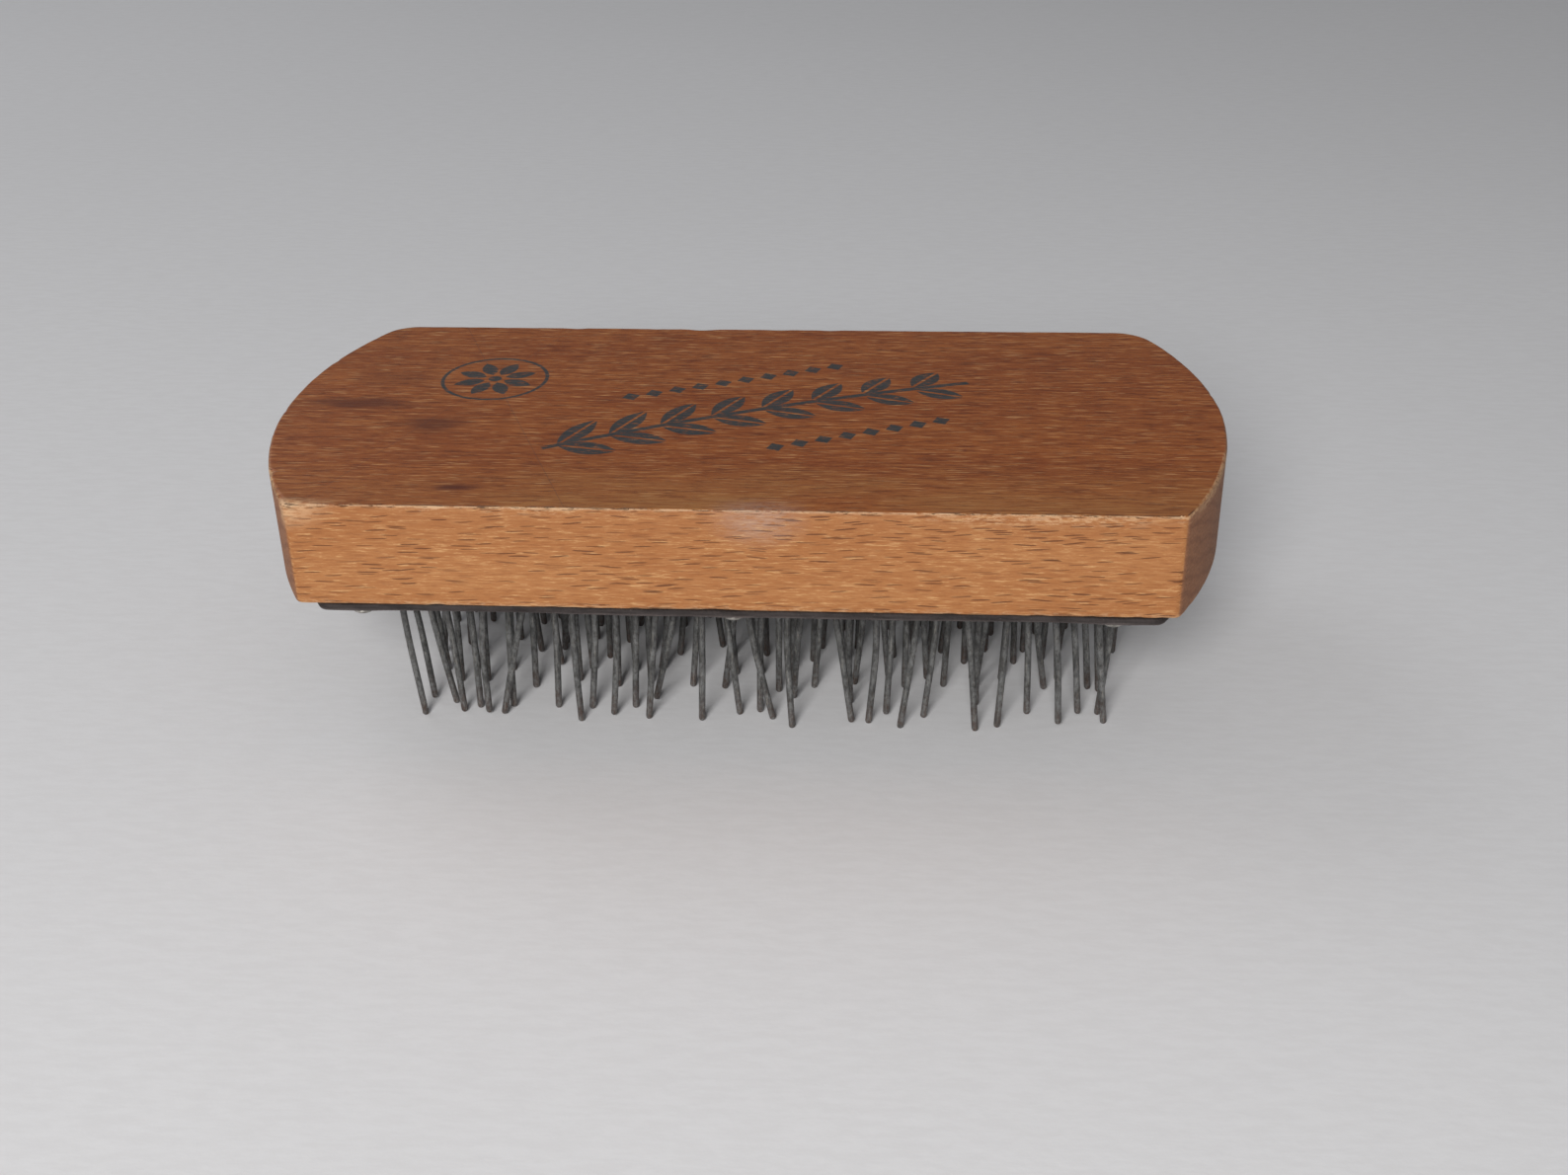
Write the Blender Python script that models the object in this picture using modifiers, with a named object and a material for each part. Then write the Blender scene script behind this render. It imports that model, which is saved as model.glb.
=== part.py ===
"""Wire-toothed clothes brush: a beech block with bowed ends, a thin backing sheet tacked under it, and
rows of U-shaped steel staples pushed through the sheet. Each staple's two legs are teeth of the brush.

Metres, +Z up. X runs along the block and Y across it, with the straight front side at -Y. The origin is
on the surface that the tooth tips stand on, under the middle of the block.
"""

import math
import random

import bmesh
import bpy

MM = 0.001

# Beech block
BLOCK_LENGTH = 114.3 * MM
BLOCK_WIDTH = 54.0 * MM
BLOCK_THICKNESS = 12.7 * MM
END_RISE = 7.45 * MM  # how far each bowed end swells past the corners
FRONT_CORNER_RADIUS = 0.8 * MM
BACK_CORNER_RADIUS = 5.0 * MM
BLOCK_EASING = 0.45 * MM  # softened edge all round the two broad faces

# Backing sheet that holds the staples
BACKING_THICKNESS = 0.9 * MM
BACKING_SIDE_INSET = 0.5 * MM
BACKING_END_INSET = 2.0 * MM
BACKING_SHIFT = 0.4 * MM  # the sheet sits a little to the right on the block
BACKING_CORNER_RADIUS = 1.4 * MM

# Staples, each a U of round wire: a crown on the sheet and two legs through it
WIRE_RADIUS = 0.4 * MM
TOOTH_LENGTH = 18.3 * MM  # below the sheet
STAPLE_ROWS = 6
STAPLE_COLUMNS = 17
COLUMN_PITCH = 5.1 * MM
ROW_PITCH = 7.4 * MM
CROWN_RUN = 2.2 * MM  # from the first leg to the second, along the block
CROWN_REACH = 2.8 * MM  # and across it
ROW_STAGGER = 3.5 * MM  # each row is this much further along than the row in front, less whole pitches
FIELD_START = -40.0 * MM  # first tooth of the front row
CROWN_PROUD = 0.2 * MM  # the crown stands above the sheet by this much
CROWN_CORNER = 0.45 * MM
TIP_UNEVENNESS = 0.5 * MM
LEAN_LIMIT = 1.6 * MM  # how far a tip may be bent away along the block
LEAN_LIMIT_ACROSS = 0.9 * MM
KNEE_LIMIT = 0.45 * MM  # how far a leg may be kinked sideways
KNEE_HEIGHT = 0.45  # where a leg kinks, as a share of its length down from the sheet
LEG_STRAIGHT = 0.4 * MM  # a leg starts to bend this far below the sheet
TIP_ROUNDING = ((0.45 * MM, 1.0), (0.15 * MM, 0.82), (0.0, 0.45))  # height above the tip, share of the radius

# Where use has left the tips of the first four lines of teeth: along and across from their feet, in mm
FIRST_LINE = (
    (1.3, 0.1), (0.8, 1.0), (-1.1, 0.4), (-4.4, 0.5), (0.2, -0.6), (-1.1, 0.6), (-1.9, 0.3),
    (-0.5, 0.1), (3.0, 0.7), (0.3, -1.1), (2.3, 0.0), (-0.8, 0.3), (-2.1, -0.6), (1.8, -0.9),
    (-0.7, 0.0), (1.5, 0.3), (1.9, 1.4),
)
SECOND_LINE = (
    (2.4, -0.1), (0.4, -0.9), (-0.6, -0.7), (-0.2, -0.5), (-1.1, -0.6), (-0.9, -0.4), (-3.7, 1.5),
    (1.8, -1.2), (-0.9, -0.6), (-2.1, 2.6), (-0.2, 1.8), (-0.9, -0.9), (-1.5, -1.2), (-0.2, 2.0),
    (0.8, 0.0), (1.8, -0.2), (-0.9, 0.5),
)
THIRD_LINE = (
    (3.3, -3.9), (0.6, 0.4), (-1.2, 0.4), (0.0, -0.7), (0.2, 1.1), (0.1, -0.1), (-1.0, 0.6),
    (-0.8, 0.3), (-1.9, 0.0), (-0.2, -0.5), (-1.0, 0.6), (-1.1, 1.6), (0.0, 0.4), (-0.3, 1.4),
    (-1.5, 1.2), (1.9, 1.0), (2.2, 1.4),
)
FOURTH_LINE = (
    (1.3, 0.2), (-0.1, 0.3), (-0.7, 0.4), (0.2, 1.5), (-0.7, 0.4), (-0.3, 0.5), (-2.2, 0.6), (2.2, 0.4),
    (0.3, 0.3), (-1.1, 0.5), (0.6, 0.4), (0.9, 0.6), (0.6, 0.3), (1.1, 0.2), (-0.4, 0.4), (1.5, 0.3),
    (1.3, -1.8),
)
# The bent lines by row and leg
BENT_LINES = {
    (0, 0): FIRST_LINE,
    (0, 1): SECOND_LINE,
    (1, 0): THIRD_LINE,
    (1, 1): FOURTH_LINE,
}

# Tacks
TACK_SPACING = 42.8 * MM
TACK_INSET = 1.8 * MM  # head's centre to the edge of the sheet
TACK_HEAD_RADIUS = 1.3 * MM
TACK_HEAD_HEIGHT = 0.7 * MM
TACK_RIM = 0.2 * MM
TACK_SHANK_RADIUS = 0.7 * MM
TACK_LENGTH = 9.5 * MM
TACK_POINT_RADIUS = 0.12 * MM
TACK_POINT_BEVEL = 0.3 * MM
TACK_TAPER_START = 1 / 3  # how far up its shank a tack starts to narrow
TACK_SIDES = 12
DOME_RINGS = 4

# Gaps between pieces that touch
SEAT_GAP = 0.3 * MM
WIRE_CLEARANCE = 0.1 * MM
TACK_CLEARANCE = 0.3 * MM
TACK_HOLE_END_RADIUS = 0.6 * MM
HEAD_GAP = 0.2 * MM

# Smoothness
WELD_DISTANCE = 0.001 * MM
CREASE_ANGLE = math.radians(35)
FRONT_CORNER_STEPS = 3
BOW_STEPS = 22
BACK_CORNER_STEPS = 6
EASING_STEPS = 2
EASED_ANGLE = math.radians(50)  # edges sharper than this are eased
WIRE_SMOOTHNESS = 1

BACKING_BOTTOM = TOOTH_LENGTH
BACKING_TOP = BACKING_BOTTOM + BACKING_THICKNESS
BLOCK_BOTTOM = BACKING_TOP + SEAT_GAP
CROWN_HEIGHT = BACKING_TOP + CROWN_PROUD - WIRE_RADIUS
BACKING_HALF_WIDTH = BLOCK_WIDTH / 2 - BACKING_SIDE_INSET


def clear_scene():
    for item in list(bpy.data.objects):
        bpy.data.objects.remove(item, do_unlink=True)


def new_collection(name):
    collection = bpy.data.collections.new(name)
    bpy.context.scene.collection.children.link(collection)
    return collection


def new_material(name, colour, roughness, metallic):
    material = bpy.data.materials.new(name)
    material.use_nodes = True
    shader = material.node_tree.nodes["Principled BSDF"]
    shader.inputs["Base Color"].default_value = (*colour, 1.0)
    shader.inputs["Roughness"].default_value = roughness
    shader.inputs["Metallic"].default_value = metallic
    material.diffuse_color = (*colour, 1.0)
    return material


def as_mesh(curve_object, name, collection):
    """Replaces a curve object by a mesh object with its caps welded on."""
    graph = bpy.context.evaluated_depsgraph_get()
    mesh = bpy.data.meshes.new_from_object(curve_object.evaluated_get(graph))
    shape = bmesh.new()
    shape.from_mesh(mesh)
    bmesh.ops.remove_doubles(shape, verts=shape.verts, dist=WELD_DISTANCE)
    bmesh.ops.recalc_face_normals(shape, faces=shape.faces)
    shape.to_mesh(mesh)
    shape.free()
    result = bpy.data.objects.new(name, mesh)
    result.matrix_world = curve_object.matrix_world.copy()
    collection.objects.link(result)
    bpy.data.objects.remove(curve_object, do_unlink=True)
    return result


def finish(item, material):
    """Gives a piece its material and smooth shading with sharp creases."""
    item.data.materials.clear()
    item.data.materials.append(material)
    item.data.shade_smooth()
    item.data.set_sharp_from_angle(angle=CREASE_ANGLE)
    return item


def make_helper(item):
    item.hide_render = True
    item.display_type = "WIRE"
    return item


def cut(item, cutter):
    """Subtracts a cutter from a piece."""
    modifier = item.modifiers.new("cut_" + cutter.name, "BOOLEAN")
    modifier.operation = "DIFFERENCE"
    modifier.solver = "EXACT"
    modifier.object = cutter


def arc(centre, radius, start, end, steps):
    """Points of an arc in the XY plane, both ends included."""
    angles = [start + (end - start) * step / steps for step in range(steps + 1)]
    return [(centre[0] + radius * math.cos(a), centre[1] + radius * math.sin(a)) for a in angles]


def bowed_outline(half_length, half_width, front_radius, back_radius):
    """Straight front and back sides with bowed ends, anticlockwise from the front right."""
    sweep = (half_width**2 + END_RISE**2) / (2 * END_RISE)
    sweep_x = half_length - sweep

    def corner(radius):
        """Centre of the rounding of a corner at +Y, and its direction from the sweep's centre."""
        y = half_width - radius
        x = sweep_x + math.sqrt((sweep - radius) ** 2 - y**2)
        return (x, y), math.atan2(y, x - sweep_x)

    (front_x, front_y), front_turn = corner(front_radius)
    (back_x, back_y), back_turn = corner(back_radius)
    end = arc((front_x, -front_y), front_radius, -math.pi / 2, -front_turn, FRONT_CORNER_STEPS)
    end += arc((sweep_x, 0), sweep, -front_turn, back_turn, BOW_STEPS)[1:-1]
    end += arc((back_x, back_y), back_radius, back_turn, math.pi / 2, BACK_CORNER_STEPS)
    return end + [(-x, y) for x, y in reversed(end)]


def make_slab(name, outline, bottom, thickness, collection):
    """A flat piece of the given outline."""
    curve = bpy.data.curves.new(name + "_curve", "CURVE")
    curve.dimensions = "2D"
    curve.fill_mode = "BOTH"
    curve.extrude = thickness / 2
    spline = curve.splines.new("POLY")
    spline.points.add(len(outline) - 1)
    for point, (x, y) in zip(spline.points, outline):
        point.co = (x, y, 0, 1)
    spline.use_cyclic_u = True
    guide = bpy.data.objects.new(name + "_outline", curve)
    guide.location.z = bottom + thickness / 2
    collection.objects.link(guide)
    bpy.context.view_layer.update()
    return as_mesh(guide, name, collection)


def make_wire(name, points, radius, collection):
    """A tube through points of (position, share of the radius)."""
    curve = bpy.data.curves.new(name + "_curve", "CURVE")
    curve.dimensions = "3D"
    curve.bevel_depth = radius
    curve.bevel_resolution = WIRE_SMOOTHNESS
    curve.use_fill_caps = True
    spline = curve.splines.new("POLY")
    spline.points.add(len(points) - 1)
    for point, (position, share) in zip(spline.points, points):
        point.co = (*position, 1)
        point.radius = share
    wire = bpy.data.objects.new(name + "_path", curve)
    collection.objects.link(wire)
    bpy.context.view_layer.update()
    return as_mesh(wire, name, collection)


def staple_feet(row, column):
    """Where a staple's two legs pass through the sheet."""
    shift = (row * ROW_STAGGER + COLUMN_PITCH / 2) % COLUMN_PITCH - COLUMN_PITCH / 2
    x = FIELD_START + column * COLUMN_PITCH + shift
    y = (row - (STAPLE_ROWS - 1) / 2) * ROW_PITCH - CROWN_REACH / 2
    return (x, y), (x + CROWN_RUN, y + CROWN_REACH)


def crown_points(first, second):
    """The crown of a staple, with its two corners cut across, from the first leg to the second."""
    length = math.hypot(CROWN_RUN, CROWN_REACH)
    step = (CROWN_RUN / length * CROWN_CORNER, CROWN_REACH / length * CROWN_CORNER)
    below = CROWN_HEIGHT - CROWN_CORNER
    return [
        (first[0], first[1], below),
        (first[0] + step[0], first[1] + step[1], CROWN_HEIGHT),
        (second[0] - step[0], second[1] - step[1], CROWN_HEIGHT),
        (second[0], second[1], below),
    ]


def leg_points(foot, lean, knee, tip_height):
    """A leg from the sheet's underside down to its rounded tip, as (position, share of the radius)."""
    x, y = foot
    knee_z = BACKING_BOTTOM - KNEE_HEIGHT * TOOTH_LENGTH
    knee_x = x + lean[0] * KNEE_HEIGHT + knee[0]
    knee_y = y + lean[1] * KNEE_HEIGHT + knee[1]
    points = [((x, y, BACKING_BOTTOM - LEG_STRAIGHT), 1.0), ((knee_x, knee_y, knee_z), 1.0)]
    for above_tip, share in TIP_ROUNDING:
        height = tip_height + above_tip
        along = (knee_z - height) / (knee_z - tip_height)
        tip_x = knee_x + (x + lean[0] - knee_x) * along
        tip_y = knee_y + (y + lean[1] - knee_y) * along
        points.append(((tip_x, tip_y, height), share))
    return points


def staple_points(row, column):
    """A whole staple from tip to tip, each one bent a little differently by use."""
    chance = random.Random(100 * row + column)
    feet = staple_feet(row, column)
    legs = []
    for leg, foot in enumerate(feet):
        lean_x = chance.uniform(-LEAN_LIMIT, LEAN_LIMIT)
        lean_y = chance.uniform(-LEAN_LIMIT_ACROSS, LEAN_LIMIT_ACROSS)
        knee = (chance.uniform(-KNEE_LIMIT, KNEE_LIMIT), chance.uniform(-KNEE_LIMIT, KNEE_LIMIT))
        tip_height = max(0.0, chance.uniform(-TIP_UNEVENNESS, TIP_UNEVENNESS))
        if (row, leg) in BENT_LINES:
            lean_x, lean_y = (bend * MM for bend in BENT_LINES[row, leg][column])
        legs.append(leg_points(foot, (lean_x, lean_y), knee, tip_height))
    crown = [(point, 1.0) for point in crown_points(*feet)]
    return list(reversed(legs[0])) + crown + legs[1]


def in_this_set(row, column):
    """Every second staple of the field, in a chequered pattern."""
    return (row + column) % 2 == 0


def make_staples(parts, steel):
    for row in range(STAPLE_ROWS):
        for column in range(STAPLE_COLUMNS):
            if in_this_set(row, column):
                name = f"staple_row{row + 1}_{column + 1:02d}"
                finish(make_wire(name, staple_points(row, column), WIRE_RADIUS, parts), steel)


def make_staple_cutter(cutters):
    """The channels of the staples in the sheet: a groove for each crown and a hole for each leg."""
    shape = bmesh.new()
    for row in range(STAPLE_ROWS):
        for column in range(STAPLE_COLUMNS):
            if not in_this_set(row, column):
                continue
            first, second = staple_feet(row, column)
            path = [(*first, BACKING_BOTTOM - SEAT_GAP)] + crown_points(first, second)
            path.append((*second, BACKING_BOTTOM - SEAT_GAP))
            channel = [(point, 1.0) for point in path]
            tube = make_wire("channel", channel, WIRE_RADIUS + WIRE_CLEARANCE, cutters)
            shape.from_mesh(tube.data)
            bpy.data.objects.remove(tube, do_unlink=True)
    mesh = bpy.data.meshes.new("staple_channels")
    shape.to_mesh(mesh)
    shape.free()
    cutter = bpy.data.objects.new("staple_channels", mesh)
    cutters.objects.link(cutter)
    return make_helper(cutter)


def tack_places():
    """Name and position of each tack along the two long edges of the sheet."""
    for side_name, side in (("front", -1), ("back", 1)):
        for place_name, place in (("left", -1), ("middle", 0), ("right", 1)):
            y = side * (BACKING_HALF_WIDTH - TACK_INSET)
            yield f"tack_{side_name}_{place_name}", (place * TACK_SPACING, y)


def tack_profile():
    """Half section of a tack, from its point down to the middle of its domed head, about the head's seat."""
    profile = [(0.0, TACK_LENGTH), (TACK_POINT_RADIUS, TACK_LENGTH - TACK_POINT_BEVEL)]
    profile += [(TACK_SHANK_RADIUS, TACK_LENGTH * TACK_TAPER_START), (TACK_SHANK_RADIUS, 0.0)]
    profile += [(TACK_HEAD_RADIUS, 0.0), (TACK_HEAD_RADIUS, -TACK_RIM)]
    dome = TACK_HEAD_HEIGHT - TACK_RIM
    for ring in range(1, DOME_RINGS + 1):
        angle = math.pi / 2 * ring / DOME_RINGS
        profile.append((TACK_HEAD_RADIUS * math.cos(angle), -TACK_RIM - dome * math.sin(angle)))
    profile[-1] = (0.0, -TACK_HEAD_HEIGHT)
    return profile


def make_tack(name, place, parts, material):
    profile = tack_profile()
    mesh = bpy.data.meshes.new(name)
    edges = [(index, index + 1) for index in range(len(profile) - 1)]
    mesh.from_pydata([(x, 0, z) for x, z in profile], edges, [])
    tack = bpy.data.objects.new(name, mesh)
    tack.location = (*place, BACKING_BOTTOM - HEAD_GAP)
    parts.objects.link(tack)
    screw = tack.modifiers.new("turned", "SCREW")
    screw.steps = TACK_SIDES
    screw.render_steps = TACK_SIDES
    screw.use_merge_vertices = True
    screw.merge_threshold = WELD_DISTANCE
    screw.use_smooth_shade = True
    tack.data.materials.append(material)
    return tack


def make_tack_cutter(name, place, cutters):
    """A tapered hole through the sheet and into the block."""
    bottom = BACKING_BOTTOM - SEAT_GAP
    top = BACKING_BOTTOM - HEAD_GAP + TACK_LENGTH + TACK_CLEARANCE
    shape = bmesh.new()
    bmesh.ops.create_cone(
        shape,
        cap_ends=True,
        segments=TACK_SIDES,
        radius1=TACK_SHANK_RADIUS + TACK_CLEARANCE,
        radius2=TACK_HOLE_END_RADIUS,
        depth=top - bottom,
    )
    mesh = bpy.data.meshes.new(name)
    shape.to_mesh(mesh)
    shape.free()
    cutter = bpy.data.objects.new(name, mesh)
    cutter.location = (*place, (top + bottom) / 2)
    cutters.objects.link(cutter)
    return make_helper(cutter)


def make_block(parts, beech):
    outline = bowed_outline(BLOCK_LENGTH / 2, BLOCK_WIDTH / 2, FRONT_CORNER_RADIUS, BACK_CORNER_RADIUS)
    block = make_slab("wood_block", outline, BLOCK_BOTTOM, BLOCK_THICKNESS, parts)
    easing = block.modifiers.new("eased_edges", "BEVEL")
    easing.width = BLOCK_EASING
    easing.segments = EASING_STEPS
    easing.limit_method = "ANGLE"
    easing.angle_limit = EASED_ANGLE
    return finish(block, beech)


def make_backing(parts, sheet):
    half_length = BLOCK_LENGTH / 2 - BACKING_END_INSET
    outline = bowed_outline(half_length, BACKING_HALF_WIDTH, BACKING_CORNER_RADIUS, BACKING_CORNER_RADIUS)
    outline = [(x + BACKING_SHIFT, y) for x, y in outline]
    backing = make_slab("wire_backing", outline, BACKING_BOTTOM, BACKING_THICKNESS, parts)
    return finish(backing, sheet)


def main():
    clear_scene()
    parts = new_collection("clothes_brush")
    cutters = new_collection("clothes_brush_cutters")
    beech = new_material("beech", (0.46, 0.22, 0.085), 0.5, 0.0)
    sheet = new_material("backing_rubber", (0.07, 0.065, 0.07), 0.7, 0.0)
    steel = new_material("wire_steel", (0.17, 0.155, 0.14), 0.45, 0.9)
    nail = new_material("tack_steel", (0.42, 0.4, 0.37), 0.4, 0.9)

    block = make_block(parts, beech)
    backing = make_backing(parts, sheet)
    cut(backing, make_staple_cutter(cutters))
    for name, place in tack_places():
        make_tack(name, place, parts, nail)
        cutter = make_tack_cutter(name + "_hole", place, cutters)
        cut(backing, cutter)
        cut(block, cutter)
    make_staples(parts, steel)


main()
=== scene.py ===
"""Looks of the wire-toothed clothes brush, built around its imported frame.

Metres, with the frame's axes: +X along the block, +Y to the back, +Z up from the surface it stands on.
Shader maths works in millimetres.
"""

import math
import random

import bmesh
import bpy
from mathutils import Matrix, Vector, noise


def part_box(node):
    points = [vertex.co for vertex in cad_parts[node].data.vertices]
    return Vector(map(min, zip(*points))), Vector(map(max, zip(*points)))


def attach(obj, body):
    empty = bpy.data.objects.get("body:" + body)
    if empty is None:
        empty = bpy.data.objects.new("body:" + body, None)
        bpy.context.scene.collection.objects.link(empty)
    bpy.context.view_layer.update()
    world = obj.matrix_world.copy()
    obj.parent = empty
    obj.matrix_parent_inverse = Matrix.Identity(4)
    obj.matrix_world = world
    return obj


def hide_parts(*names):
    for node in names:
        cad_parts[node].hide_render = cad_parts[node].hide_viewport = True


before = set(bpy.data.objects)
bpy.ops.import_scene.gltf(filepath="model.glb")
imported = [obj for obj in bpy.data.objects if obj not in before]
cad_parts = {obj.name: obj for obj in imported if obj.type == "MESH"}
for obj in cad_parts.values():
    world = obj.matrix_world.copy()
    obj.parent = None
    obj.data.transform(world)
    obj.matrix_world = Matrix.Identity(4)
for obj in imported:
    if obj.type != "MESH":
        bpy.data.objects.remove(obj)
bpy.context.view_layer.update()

MM = 0.001
BLOCK_LOW, BLOCK_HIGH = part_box("wood_block")
SHEET_LOW, SHEET_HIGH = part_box("wire_backing")

# The block's top, underside and front side in the shaders' millimetres
TOP_Z = BLOCK_HIGH.z * 1000
BOTTOM_Z = BLOCK_LOW.z * 1000
FRONT_Y = BLOCK_LOW.y * 1000

# Block
END_RISE = 7.45 * MM
FRONT_CORNER_RADIUS = 1.0 * MM
BACK_CORNER_RADIUS = 5.0 * MM
FRONT_CORNER_STEPS = 12
BOW_STEPS = 90
BACK_CORNER_STEPS = 24
OUTLINE_STEP = 0.4 * MM
LOW_EDGE_STEPS = 4
WALL_STEPS = 7
HIGH_EDGE_STEPS = 5
FACE_INSET = 0.05 * MM  # from a rounded edge to the rim of the flat face

# Its worn edge, in mm: the mean radius, then the depth of each kind of wear and the size of its lumps
EDGE_RADIUS = 0.36
WAVES = (0.12, 9.0)
ROUGHENING = (0.07, 1.7)
CHIPS = (0.55, 2.6)
CHIP_START = 0.28  # noise above this is a chip
LOW_EDGE_SEED = 4.0
HIGH_EDGE_SEED = 1.0
WIDEST_WEAR = 0.93 * MM
# Knocks in its top edge: place, depth and reach
KNOCKS = (
    ((-0.0492, -0.0268), 0.5 * MM, 4.0 * MM),
    ((-0.0536, -0.0190), 0.45 * MM, 0.8 * MM),
    ((-0.0082, 0.0270), 0.5 * MM, 1.6 * MM),
)

# Backing sheet
SHEET_CORNER_RADIUS = 1.4 * MM
# Its skin from the top face round the edge: distance in from the edge in mm, share of the thickness
SHEET_SECTION = (
    (0.75, 1.0),
    (0.30, 1.0),
    (0.10, 0.94),
    (0.02, 0.80),
    (0.00, 0.45),
    (0.03, 0.25),
    (0.12, 0.08),
    (0.30, 0.00),
    (0.75, 0.00),
)
# Its unevenness: depth, size of the lumps and seed
SLOW_RIPPLE = (0.06 * MM, 7.0 * MM, 2.0)
QUICK_RIPPLE = (0.03 * MM, 1.8 * MM, 9.0)
WARP = (0.16 * MM, 16.0 * MM, 5.0)
TACK_PULL = 0.16 * MM
TACK_PULL_REACH = 3.0 * MM
SEAT_GAP = 0.02 * MM  # least distance to the block
WEAVE_PITCH = 0.55  # of the relief on its faces, in mm

# Staples, as the frame has them
WIRE_RADIUS = 0.4 * MM
TOOTH_LENGTH = SHEET_LOW.z
STAPLE_ROWS = 6
STAPLE_COLUMNS = 17
COLUMN_PITCH = 5.1 * MM
ROW_PITCH = 7.4 * MM
CROWN_RUN = 2.2 * MM
CROWN_REACH = 2.8 * MM
ROW_STAGGER = 3.5 * MM
FIELD_START = -40.0 * MM
CROWN_PROUD = 0.2 * MM
CROWN_CORNER = 0.45 * MM
TIP_UNEVENNESS = 0.5 * MM
LEAN_LIMIT = 1.6 * MM
LEAN_LIMIT_ACROSS = 0.9 * MM
KNEE_LIMIT = 0.45 * MM
KNEE_HEIGHT = 0.45
LEG_STRAIGHT = 0.4 * MM
LEG_STEPS = 6
WIRE_SMOOTHNESS = 3
# Millimetres above the tip and share of the radius there
TIP_ROUNDING = ((0.42, 1.0), (0.24, 0.93), (0.10, 0.72), (0.02, 0.38))

# Where use has left the tips of the first four lines of teeth, in mm along and across from their feet
FIRST_LINE = (
    (1.3, 0.1), (0.8, 1.0), (-1.1, 0.4), (-4.4, 0.5), (0.2, -0.6), (-1.1, 0.6), (-1.9, 0.3),
    (-0.5, 0.1), (3.0, 0.7), (0.3, -1.1), (2.3, 0.0), (-0.8, 0.3), (-2.1, -0.6), (1.8, -0.9),
    (-0.7, 0.0), (1.5, 0.3), (1.9, 1.4),
)
SECOND_LINE = (
    (2.4, -0.1), (0.4, -0.9), (-0.6, -0.7), (-0.2, -0.5), (-1.1, -0.6), (-0.9, -0.4), (-3.7, 1.5),
    (1.8, -1.2), (-0.9, -0.6), (-2.1, 2.6), (-0.2, 1.8), (-0.9, -0.9), (-1.5, -1.2), (-0.2, 2.0),
    (0.8, 0.0), (1.8, -0.2), (-0.9, 0.5),
)
THIRD_LINE = (
    (3.3, -3.9), (0.6, 0.4), (-1.2, 0.4), (0.0, -0.7), (0.2, 1.1), (0.1, -0.1), (-1.0, 0.6),
    (-0.8, 0.3), (-1.9, 0.0), (-0.2, -0.5), (-1.0, 0.6), (-1.1, 1.6), (0.0, 0.4), (-0.3, 1.4),
    (-1.5, 1.2), (1.9, 1.0), (2.2, 1.4),
)
FOURTH_LINE = (
    (1.3, 0.2), (-0.1, 0.3), (-0.7, 0.4), (0.2, 1.5), (-0.7, 0.4), (-0.3, 0.5), (-2.2, 0.6),
    (2.2, 0.4), (0.3, 0.3), (-1.1, 0.5), (0.6, 0.4), (0.9, 0.6), (0.6, 0.3), (1.1, 0.2),
    (-0.4, 0.4), (1.5, 0.3), (1.3, -1.8),
)
# The bent lines by row and leg
BENT_LINES = {
    (0, 0): FIRST_LINE,
    (0, 1): SECOND_LINE,
    (1, 0): THIRD_LINE,
    (1, 1): FOURTH_LINE,
}

# Tacks
TACK_HEAD_RADIUS = 1.3 * MM
TACK_HEAD_HEIGHT = 0.7 * MM
TACK_HEAD_RIM = 0.2 * MM
TACK_HEAD_EASING = (0.06 * MM, 0.08 * MM)  # across and up
TACK_HEAD_RINGS = 9
TACK_HEAD_TURN = 8.5  # rings to a quarter turn, so that the last leaves a small flat
TACK_SHANK_RADIUS = 0.7 * MM
TACK_POINT_RADIUS = 0.12 * MM
TACK_POINT_BEVEL = 0.3 * MM
TACK_SIDES = 32

# Printed ornament on the block's top, in mm
ORNAMENT_MIDDLE = (1.5, -0.5)
ORNAMENT_SLANT = math.radians(22.5)
SPRIG_HALF = 27.4
SPRIG_BOW = 0.8
LEAF_PITCH = 6.4
LEAF_PAIRS_EACH_WAY = 4
LEAF_LEAN = math.radians(38)
LEAF_OUT = 3.9  # from the joint to the leaf's middle
HALF_LEAF = 3.5
FLOWER_MIDDLE = (-33.0, 9.0)
PETALS = 8.0
PETAL_MIDDLE = 3.3
FLOWER_RING = 6.6
RULE_ASIDE = 10.2
DOT_PITCH = 3.0
WHOLE_PITCHES = 40.0  # keeps the repeats' numbers above zero

# Stains on the block's top, in mm: place, reach along and across, depth
STAINS = (
    (-48.0, 0.8, 9.0, 2.4, 0.8),
    (-37.5, -5.2, 5.5, 3.0, 0.7),
    (-31.2, -22.2, 3.6, 1.3, 0.95),
    (-46.0, 9.0, 7.0, 3.5, 0.3),
)

# Camera, above and a little to the right of the brush's front
LENS = 41.94
CAMERA_PLACE = (18.46 * MM, -203.98 * MM, BLOCK_LOW.z + 102.67 * MM)
CAMERA_YAW = -4.05
CAMERA_PITCH = 29.28
CAMERA_ROLL = -0.99
SENSOR_WIDTH = 36.0
CLIP_START = 0.01

# Studio
FLOOR_SIZE = 6.0
WORLD_COLOUR = (0.97, 0.98, 1.0, 1.0)
WORLD_STRENGTH = 0.20
LIGHT_AIM = (0, 0, 0.015)
# Place, size, power and colour
KEY = ((-0.09, -0.62, 0.37), 0.30, 4.3, (1.0, 0.985, 0.96))
FILL = ((-0.50, 0.36, 0.50), 0.50, 0.9, (0.98, 0.99, 1.0))


# ---------------------------------------------------------------- shader maths


# A Mix node has sockets for every data type: those of its two colours and of the mixed one
MIX_COLOURS = slice(6, 8)
MIX_RESULT = 2


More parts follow.
